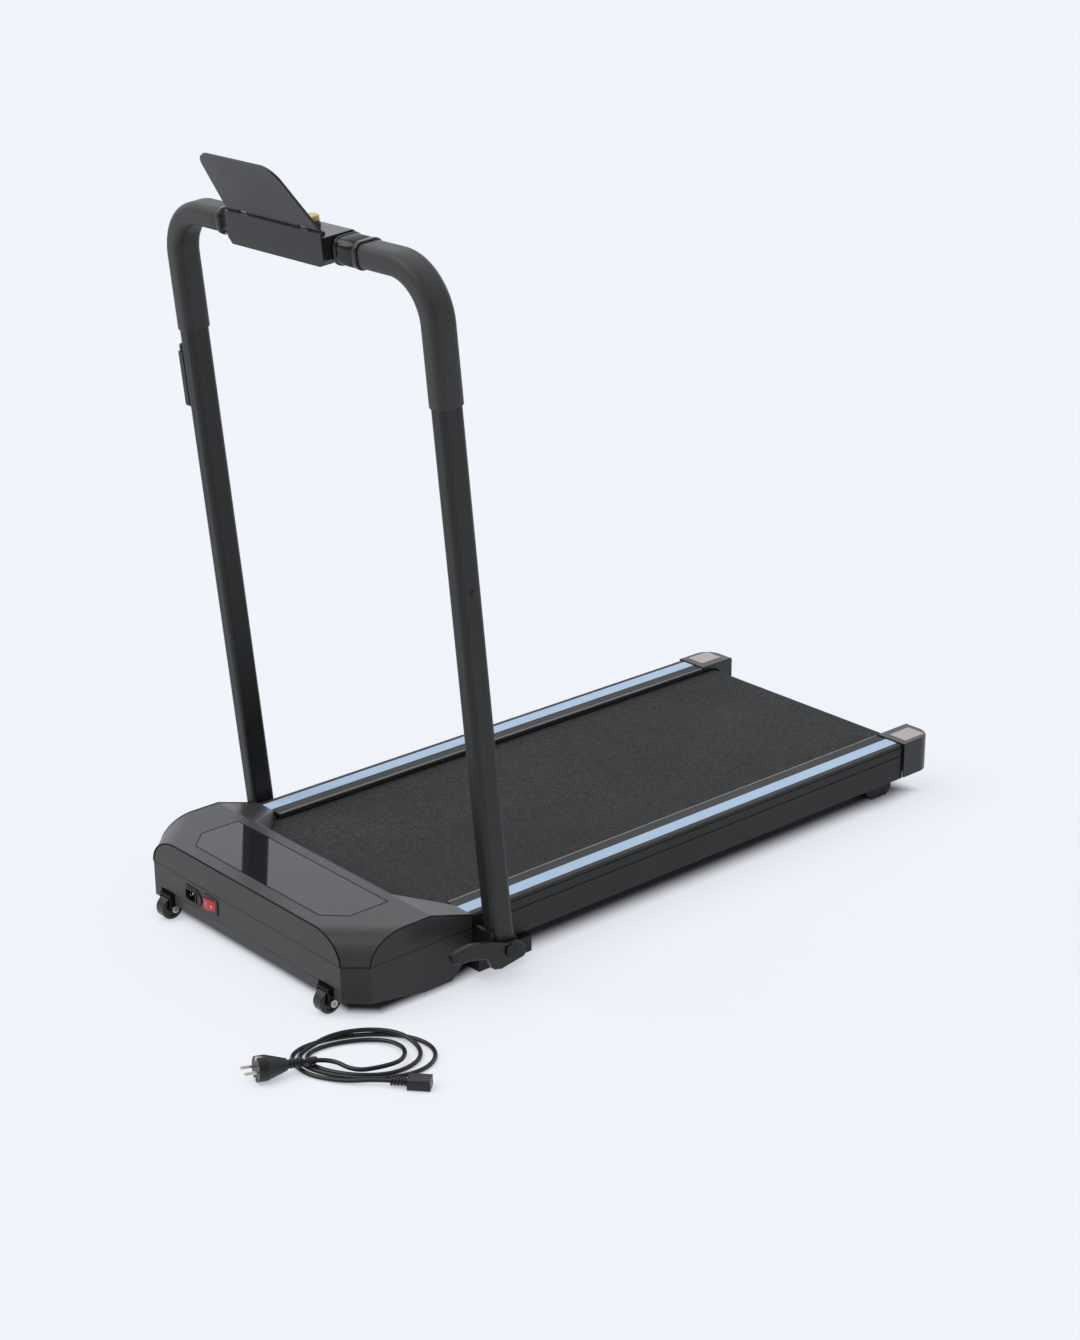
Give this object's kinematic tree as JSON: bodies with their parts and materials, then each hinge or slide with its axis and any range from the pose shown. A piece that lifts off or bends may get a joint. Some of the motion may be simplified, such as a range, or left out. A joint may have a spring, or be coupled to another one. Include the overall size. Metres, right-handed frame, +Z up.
{
  "type": "folding treadmill",
  "caption": "Low walking treadmill with a motor hood, running belt between side rails, a folding U-shaped handrail with console and tablet flap, and a detached mains cord.",
  "frame": {"origin": "centre of the treadmill's footprint on the floor, without the detached cord", "axes": "+Z up, the motor hood faces -Y and the tail is at +Y, +X is the walker's left"},
  "size_m": [0.8113, 1.4661, 1.2027],
  "materials": {
    "hood_plastic": "fine-grained charcoal moulding",
    "rail_plastic": "satin black moulding",
    "stripe_blue": "pale blue inlay strip",
    "pad_grey": "textured grey insert",
    "gloss_window": "smoked glossy window",
    "console_plastic": "semi-gloss black moulding",
    "flap_plastic": "matte dark grey moulding",
    "powder_black": "satin black powder coat",
    "lever_plastic": "black moulding",
    "grip_foam": "soft closed-cell foam sleeve",
    "belt_rubber": "dark woven running belt",
    "deck_wood": "pressed wood deck",
    "soft_rubber": "black rubber",
    "wheel_plastic": "black roller wheel",
    "steel": "turned steel",
    "motor_case": "painted motor case",
    "circuit_green": "circuit board with heat sink",
    "inlet_black": "black moulding",
    "rocker_red": "red translucent rocker",
    "plated_pins": "nickel-plated contact",
    "button_grey": "soft grey button",
    "key_yellow": "yellow knob on a black skirt",
    "remote_black": "black handset",
    "cord_black": "black flexible sheath"
  },
  "bodies": {
    "deck": {"hood_base": "hood_plastic", "hood_cover": "hood_plastic", "side_rail_left": "rail_plastic", "side_rail_right": "rail_plastic", "rear_cap_left": "rail_plastic", "rear_cap_right": "rail_plastic", "rail_stripes": "stripe_blue", "cap_pads": "pad_grey", "display_window": "gloss_window", "hinge_bracket_left": "powder_black", "hinge_bracket_right": "powder_black", "front_pan": "powder_black", "deck_frame": "powder_black", "caster_forks": "powder_black", "running_belt": "belt_rubber", "drive_belt": "belt_rubber", "deck_board": "deck_wood", "deck_cushions": "soft_rubber", "rear_foot_left": "soft_rubber", "rear_foot_right": "soft_rubber", "roller_shafts": "steel", "adjuster_bolts": "steel", "caster_axles": "steel", "pivot_pins": "steel", "motor": "motor_case", "control_board": "circuit_green", "power_inlet": "inlet_black", "switch_bezel": "inlet_black", "inlet_pins": "plated_pins", "plug_pins": "plated_pins", "cord_hank": "cord_black", "plug_lead": "cord_black", "connector_lead": "cord_black", "mains_plug": "cord_black", "cord_connector": "cord_black"},
    "switch_rocker": {"switch_rocker": "rocker_red"},
    "motor_drive": {"motor_pulley": "steel"},
    "front_roller": {"front_roller": "steel"},
    "rear_roller": {"rear_roller": "steel"},
    "caster_left": {"caster_wheel_left": "wheel_plastic"},
    "caster_right": {"caster_wheel_right": "wheel_plastic"},
    "lever_left": {"lever_left": "lever_plastic"},
    "lever_right": {"lever_right": "lever_plastic"},
    "handrail": {"upright_left": "powder_black", "upright_right": "powder_black", "upright_feet": "lever_plastic", "top_bar": "powder_black", "grip_left": "grip_foam", "grip_right": "grip_foam", "console_back": "console_plastic", "console_face": "console_plastic", "console_display": "gloss_window", "console_collars": "console_plastic", "remote_holder": "console_plastic"},
    "tablet_flap": {"tablet_flap": "flap_plastic"},
    "safety_key": {"safety_key": "key_yellow"},
    "remote_control": {"remote_control": "remote_black"},
    "start_button": {"start_button": "button_grey"},
    "speed_up_button": {"speed_up_button": "button_grey"},
    "speed_down_button": {"speed_down_button": "button_grey"}
  },
  "joints": [
    {"name": "handrail_fold", "type": "hinge", "parent": "deck", "child": "handrail", "pos_m": [0, -0.3664, 0.06], "axis": [1, 0, 0], "range_deg": [-95.5, 0]},
    {"name": "lever_left_lift", "type": "hinge", "parent": "deck", "child": "lever_left", "pos_m": [0.32, -0.3664, 0.06], "axis": [1, 0, 0], "range_deg": [-35, 0]},
    {"name": "lever_right_lift", "type": "hinge", "parent": "deck", "child": "lever_right", "pos_m": [-0.32, -0.3664, 0.06], "axis": [1, 0, 0], "range_deg": [-35, 0]},
    {"name": "front_roller_spin", "type": "hinge", "parent": "deck", "child": "front_roller", "pos_m": [0, -0.4485, 0.0752], "axis": [1, 0, 0], "continuous": true},
    {"name": "rear_roller_spin", "type": "hinge", "parent": "deck", "child": "rear_roller", "pos_m": [0, 0.5835, 0.0752], "axis": [1, 0, 0], "continuous": true},
    {"name": "motor_spin", "type": "hinge", "parent": "deck", "child": "motor_drive", "pos_m": [-0.2, -0.5465, 0.078], "axis": [1, 0, 0], "continuous": true},
    {"name": "caster_left_spin", "type": "hinge", "parent": "deck", "child": "caster_left", "pos_m": [0.204, -0.6155, 0.019], "axis": [1, 0, 0], "continuous": true},
    {"name": "caster_right_spin", "type": "hinge", "parent": "deck", "child": "caster_right", "pos_m": [-0.204, -0.6155, 0.019], "axis": [1, 0, 0], "continuous": true},
    {"name": "switch_rock", "type": "hinge", "parent": "deck", "child": "switch_rocker", "pos_m": [-0.0855, -0.6105, 0.0655], "axis": [0, 0, 1], "range_deg": [-16, 0]},
    {"name": "flap_fold", "type": "hinge", "parent": "handrail", "child": "tablet_flap", "pos_m": [0, -0.50241, 1.10748], "axis": [1, 0, 0], "range_deg": [-75, 0]},
    {"name": "safety_key_pull", "type": "slide", "parent": "handrail", "child": "safety_key", "axis": [0, -0.096, 0.9954], "range_m": [0, 0.02]},
    {"name": "remote_slide", "type": "slide", "parent": "handrail", "child": "remote_control", "axis": [0, -0.096, 0.9954], "range_m": [0, 0.06]},
    {"name": "start_button_press", "type": "slide", "parent": "handrail", "child": "start_button", "axis": [0, -0.5204, -0.8539], "range_m": [0, 0.0011], "stiffness_N_per_m": 400},
    {"name": "speed_up_button_press", "type": "slide", "parent": "handrail", "child": "speed_up_button", "axis": [0, -0.5204, -0.8539], "range_m": [0, 0.0011], "stiffness_N_per_m": 400},
    {"name": "speed_down_button_press", "type": "slide", "parent": "handrail", "child": "speed_down_button", "axis": [0, -0.5204, -0.8539], "range_m": [0, 0.0011], "stiffness_N_per_m": 400}
  ],
  "couplings": [
    {"joint": "rear_roller_spin", "follows": "front_roller_spin", "ratio": 1},
    {"joint": "motor_spin", "follows": "front_roller_spin", "ratio": 2}
  ]
}
